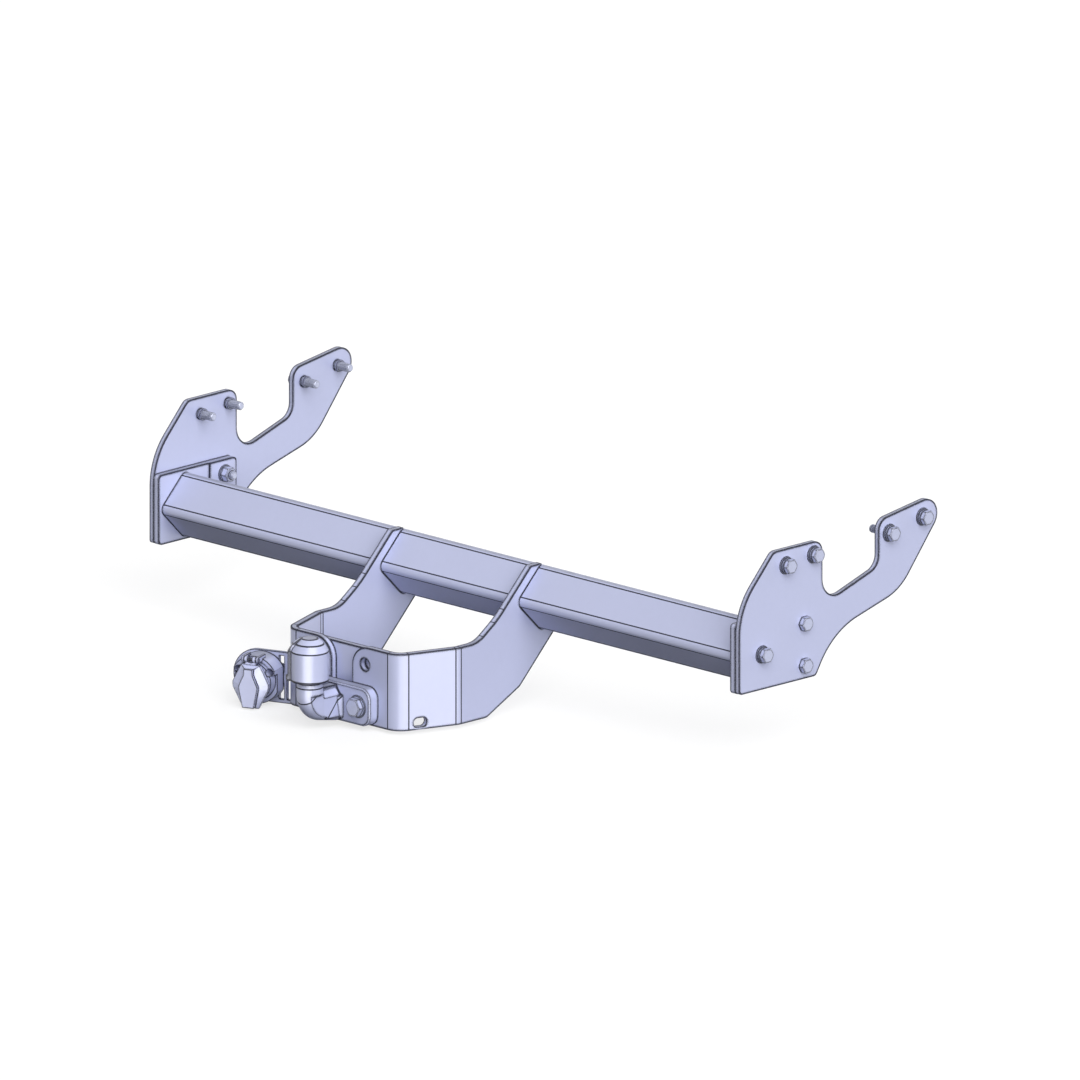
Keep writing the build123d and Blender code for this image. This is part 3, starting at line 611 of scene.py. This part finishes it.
# %% [markdown]
# ## A thread
# A thread is one tooth swept round the bar while it climbs by one pitch each turn. The spin operator does
# just that when its offset per step is the pitch divided by the steps. One turn is swept, and copies of it
# are stacked a pitch apart. Where a turn ends, the next begins, so welding the doubles closes the groove.
# Both ends are then sawn flat, and the tip is turned to a cone.


# %% Thread
STEPS = 36                              # in one turn
THREAD_DEPTH = 0.61                     # of the pitch
TIP = 0.72                              # the tip's radius, as a share of the bolt's


def threaded_rod(radius, pitch, length):
    """A rod from z = 0 to z = length, with a coarse thread and a turned tip at z = length."""
    rod = bmesh.new()
    root = radius - THREAD_DEPTH * pitch
    # Each corner of the tooth: its distance from the axis, and how far it is along one pitch.
    tooth = [(radius, 0), (radius, 2 / 16), (root, 7 / 16), (root, 11 / 16), (radius, 1)]
    profile = [rod.verts.new((across, 0, (along - 1) * pitch)) for across, along in tooth]
    edges = [rod.edges.new(pair) for pair in zip(profile, profile[1:])]
    bmesh.ops.spin(rod, geom=profile + edges, cent=(0, 0, 0), axis=(0, 0, 1), dvec=(0, 0, pitch / STEPS),
                   angle=math.tau, steps=STEPS, use_merge=False)
    one_turn = rod.verts[:] + rod.edges[:] + rod.faces[:]
    for turn in range(1, math.ceil(length / pitch) + 2):
        again = bmesh.ops.duplicate(rod, geom=one_turn)["geom"]
        bmesh.ops.translate(rod, vec=(0, 0, turn * pitch),
                            verts=[part for part in again if isinstance(part, bmesh.types.BMVert)])
    bmesh.ops.remove_doubles(rod, verts=rod.verts, dist=SAME_PLACE)
    for level, outwards in ((0, -1), (length, 1)):
        bmesh.ops.bisect_plane(rod, geom=rod.verts[:] + rod.edges[:] + rod.faces[:], dist=1e-7,
                               plane_co=(0, 0, level), plane_no=(0, 0, outwards), clear_outer=True)
    for corner in rod.verts:
        across = math.hypot(corner.co.x, corner.co.y)
        cone = radius * TIP + (length - corner.co.z)
        if across > cone:
            corner.co.xy = corner.co.xy * (cone / across)
    bmesh.ops.holes_fill(rod, edges=[edge for edge in rod.edges if edge.is_boundary], sides=0)
    bmesh.ops.recalc_face_normals(rod, faces=rod.faces)
    return rod


def describe(name, trial):
    """Prints how a trial shape came out, and frees it."""
    print(name, "has", len(trial.faces), "faces and", sum(e.is_boundary for e in trial.edges), "open edges")
    trial.free()


describe("a trial thread", threaded_rod(5.9 * MM, 1.75 * MM, 27 * MM))

# %% [markdown]
# ## A hexagonal head
# A forged head starts as a hexagon and its top corners are turned away at 30 degrees, which leaves a round
# face on top and an arc on each flat. The outline is drawn up level by level: at each height a point keeps
# the smaller of the hexagon's reach and the cone's. Under the hexagon is the thin round washer face.


# %% Head
CHAMFER = math.radians(30)
ROUND_FACE = 0.475                      # the round faces' radius, as a share of the width across flats
WASHER_FACE = 0.5 * MM                  # the thickness of the round face under the hexagon
ARC_LEVELS = 4
HEAD_SEGMENTS = 72                      # twelve to a side, so that every corner gets a point


def hexagon_reach(angle, flats):
    return flats / 2 / math.cos(angle % (math.pi / 3) - math.pi / 6)


def bolt_head(flats, height):
    """A head that stands from z = 0 down to z = -height, with its corners along x."""
    head = bmesh.new()
    top = flats * ROUND_FACE
    drop = (hexagon_reach(0, flats) - top) * math.tan(CHAMFER)
    arc = [(height - drop * (1 - part / ARC_LEVELS), True) for part in range(ARC_LEVELS + 1)]
    levels = [(0, False), (WASHER_FACE, False), (WASHER_FACE, True)] + arc
    ring = bmesh.ops.create_circle(head, segments=HEAD_SEGMENTS, radius=top)["verts"]
    edges = bottom = head.edges[:]
    for level, (up, hexagonal) in enumerate(levels):
        if level:
            grown = bmesh.ops.extrude_edge_only(head, edges=edges)["geom"]
            edges = [part for part in grown if isinstance(part, bmesh.types.BMEdge)]
            ring = [part for part in grown if isinstance(part, bmesh.types.BMVert)]
        cone = top + (height - up) / math.tan(CHAMFER)
        for corner in ring:
            angle = math.atan2(corner.co.y, corner.co.x) + math.tau
            reach = min(hexagon_reach(angle, flats), cone) if hexagonal else top
            corner.co = Vector((math.cos(angle) * reach, math.sin(angle) * reach, -up))
    bmesh.ops.edgeloop_fill(head, edges=[edge for edge in edges if edge.is_boundary])
    bmesh.ops.edgeloop_fill(head, edges=bottom)
    bmesh.ops.recalc_face_normals(head, faces=head.faces)
    return head


describe("a trial head", bolt_head(19 * MM, 7.5 * MM))

# %% [markdown]
# ## Bolts in place
# A bolt is a head and a thread that share one axis. Each is made once along Z, then turned so that Z runs
# from the head to the tip and X runs through a corner of the hexagon, which is how the frame's heads are
# turned. The new pieces stand for the frame's plain ones and ride on the same body.


# %% Bolts
SMALL_BOLT = {"flats": 19 * MM, "radius": 5.9 * MM, "pitch": 1.75 * MM}     # 12 mm
LARGE_BOLT = {"flats": 24 * MM, "radius": 7.9 * MM, "pitch": 2.0 * MM}      # 16 mm


def joined(target, part, placing, finish_number):
    """Adds a part, placed by a matrix, to a piece's mesh."""
    bmesh.ops.transform(part, matrix=placing, verts=part.verts)
    for face in part.faces:
        face.material_index = finish_number
    shell = bpy.data.meshes.new("part")
    part.to_mesh(shell)
    target.from_mesh(shell)
    part.free()
    bpy.data.meshes.remove(shell)


def bolt_set(name, axis, corner_way, head_height, flats, radius, pitch):
    """Threaded bolts in place of every plain one in a node; `axis` points from head to tip."""
    piece, axis, corner_way = bmesh.new(), Vector(axis), Vector(corner_way)
    turn = Matrix((corner_way, axis.cross(corner_way), axis)).transposed().to_4x4()
    for low, high in shells(name):
        ends = sorted((low.dot(axis), high.dot(axis)))
        under_head = ends[0] + head_height
        middle = (low + high) / 2
        start = middle - axis * middle.dot(axis) + axis * under_head
        placing = Matrix.Translation(start) @ turn
        joined(piece, bolt_head(flats, head_height), placing, 0)
        joined(piece, threaded_rod(radius, pitch, ends[1] - under_head), placing, 1)
    mesh = bpy.data.meshes.new(name + "_threaded")
    piece.to_mesh(mesh)
    piece.free()
    bolts = bpy.data.objects.new(name + "_threaded", mesh)
    bpy.context.collection.objects.link(bolts)
    for finish in (zinc, zinc_thread):
        bolts.data.materials.append(finish)
    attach(bolts, "frame")
    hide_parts(name)
    print(bolts.name, len(mesh.polygons), "faces")


for side, inwards in (("left", 1), ("right", -1)):
    bolt_set(side + "_chassis_bolts", (inwards, 0, 0), (0, 1, 0), 7.5 * MM, **SMALL_BOLT)
    bolt_set(side + "_end_plate_bolts", (inwards, 0, 0), (0, 1, 0), 8.2 * MM, **SMALL_BOLT)
bolt_set("ball_bolts", (0, 1, 0), (1, 0, 0), 9 * MM, **LARGE_BOLT)

# %% [markdown]
# ## Floor
# The bar stands on a plain white floor in front of white. If that white really lit the scene, it would wash
# out the shadows under the beam. So the floor shows white only to the camera and to mirror and glass rays,
# and is much darker to the light that bounces. A little of the floor's true shading is left in what the
# camera sees, so the object still has its shadow.

# %% Floor
FLOOR_LEVEL = cad_box[0].z - 0.5 * MM
FLOOR_SIZE = 14
FLOOR_BOUNCE, FLOOR_SHADE, FLOOR_WHITE = 0.05, 0.32, 0.70
bpy.ops.mesh.primitive_plane_add(size=FLOOR_SIZE, location=(0, 0, FLOOR_LEVEL))
floor = bpy.context.object
floor.name = "studio_floor"


def grey(level):
    return (level, level, level, 1)


def seen_directly(wiring):
    """1 for camera, mirror and glass rays, 0 for light that bounces."""
    return any_of(wiring.add("LightPath").outputs("Is Camera Ray", "Is Glossy Ray", "Is Transmission Ray"))


def floor_finish():
    finish = Finish("studio_floor_paint")
    bounce = finish.add("BsdfDiffuse", inputs={"Color": grey(FLOOR_BOUNCE)})
    shaded = finish.add("BsdfDiffuse", inputs={"Color": grey(FLOOR_SHADE)})
    white = finish.add("Emission", inputs={"Color": grey(FLOOR_WHITE), "Strength": 1.0})
    shown = finish.add("AddShader", inputs={0: shaded, 1: white})
    both = finish.add("MixShader", inputs={0: seen_directly(finish), 1: bounce, 2: shown})
    finish.add("OutputMaterial", inputs={"Surface": both})
    return finish.material


floor.data.materials.append(floor_finish())
print("floor at", round(FLOOR_LEVEL, 4))

# %% [markdown]
# ## World
# Soft light from all round fills the shadows. It is weak, because the lamps do the modelling, while the
# camera and the mirror rays see plain white. The same mask as on the floor keeps the two apart.

# %% World
AMBIENT = 0.34
world = bpy.data.worlds.new("studio")
bpy.context.scene.world = world
world.use_nodes = True
air = Wiring(world.node_tree)
soft = air.add("Background", inputs={"Color": grey(1), "Strength": AMBIENT})
white = air.add("Background", inputs={"Color": grey(1), "Strength": 1.0})
sky = air.add("MixShader", inputs={0: seen_directly(air), 1: soft, 2: white})
air.add("OutputWorld", inputs={"Surface": sky})
print("ambient light", AMBIENT)

# %% [markdown]
# ## Light
# One broad key light stands to the right and above, so faces that look right are brightest and the
# undersides of the beam fall dark. A sun lamp with a wide angle gives that light with soft shadow edges,
# wherever the object stands. Two fills, from the left and from the front, light what the key can't reach,
# for anyone who walks round, and show in no reflection. The other two lamps show in reflections alone: one
# in the cheek plates' slanting parts and bends, the other as the upright streak on the cap, the ball's
# shank and the lid. Light linking keeps them off everything else. They stand a little below floor level,
# so the floor is told not to block them.


# %% Five suns
def sun(name, towards, strength, angle):
    """A lamp that shines from the direction `towards`; `angle` is its width in degrees."""
    lamp = bpy.data.lights.new(name, "SUN")
    lamp.energy, lamp.angle = strength, math.radians(angle)
    holder = bpy.data.objects.new(name, lamp)
    bpy.context.collection.objects.link(holder)
    holder.rotation_mode = "QUATERNION"
    holder.rotation_quaternion = Vector(towards).to_track_quat("Z", "Y")
    return holder


def shine_through(lamp, thing):
    """The lamp's light isn't blocked by `thing`."""
    group = bpy.data.collections.new(lamp.name + "_passes")
    group.objects.link(thing)
    group.collection_objects[0].light_linking.link_state = "EXCLUDE"
    lamp.light_linking.blocker_collection = group


def light_only(lamp, names):
    """Only these nodes are lit by the lamp, so its reflection shows in no other plate."""
    group = bpy.data.collections.new(lamp.name + "_lights")
    for name in names:
        group.objects.link(nodes[name])
    lamp.light_linking.receiver_collection = group


key = sun("key_light", towards=(0.754, -0.387, 0.500), strength=3.35, angle=62)
plate_lamp = sun("splay_light", towards=(0.902, -0.346, -0.259), strength=2.9, angle=75)
streak_lamp = sun("streak_light", towards=(0.512, -0.819, -0.259), strength=3.0, angle=56)
left_fill = sun("left_fill", towards=(-0.88, 0.42, 0.22), strength=1.5, angle=60)
front_fill = sun("front_fill", towards=(-0.05, 0.96, 0.27), strength=1.5, angle=60)
for lamp in (plate_lamp, streak_lamp):
    shine_through(lamp, floor)
    lamp.visible_diffuse = False
for lamp in (left_fill, front_fill):
    lamp.visible_glossy = False
light_only(plate_lamp, ["left_cheek_plate", "right_cheek_plate"])
light_only(streak_lamp, ["tow_ball", "ball_cap", "socket_lid"])
print("lamps:", [lamp.name for lamp in (key, left_fill, front_fill, plate_lamp, streak_lamp)])

# %% [markdown]
# ## Camera
# The view is orthographic, from 45 degrees to the right of behind and 15 degrees above. An orthographic
# camera has no lens to match: its scale is how many metres fit across the picture.

# %% Camera
AZIMUTH, ELEVATION = math.radians(45), math.radians(15)
VIEW_CENTRE = Vector((74.9 * MM, 374.9 * MM, 110.7 * MM))
METRES_ACROSS = 1.4917
CAMERA_DISTANCE, SIGHT = 3, 20
lens = bpy.data.cameras.new("camera")
lens.type = "ORTHO"
lens.ortho_scale = METRES_ACROSS
lens.clip_end = SIGHT
camera = bpy.data.objects.new("camera", lens)
bpy.context.collection.objects.link(camera)
back = Vector((math.sin(AZIMUTH) * math.cos(ELEVATION), -math.cos(AZIMUTH) * math.cos(ELEVATION),
               math.sin(ELEVATION)))
camera.location = VIEW_CENTRE + back * CAMERA_DISTANCE
camera.rotation_mode = "QUATERNION"
camera.rotation_quaternion = (-back).to_track_quat("-Z", "Y")
bpy.context.scene.camera = camera
bpy.context.scene.view_settings.view_transform = "Standard"
print("camera at", [round(v, 2) for v in camera.location])
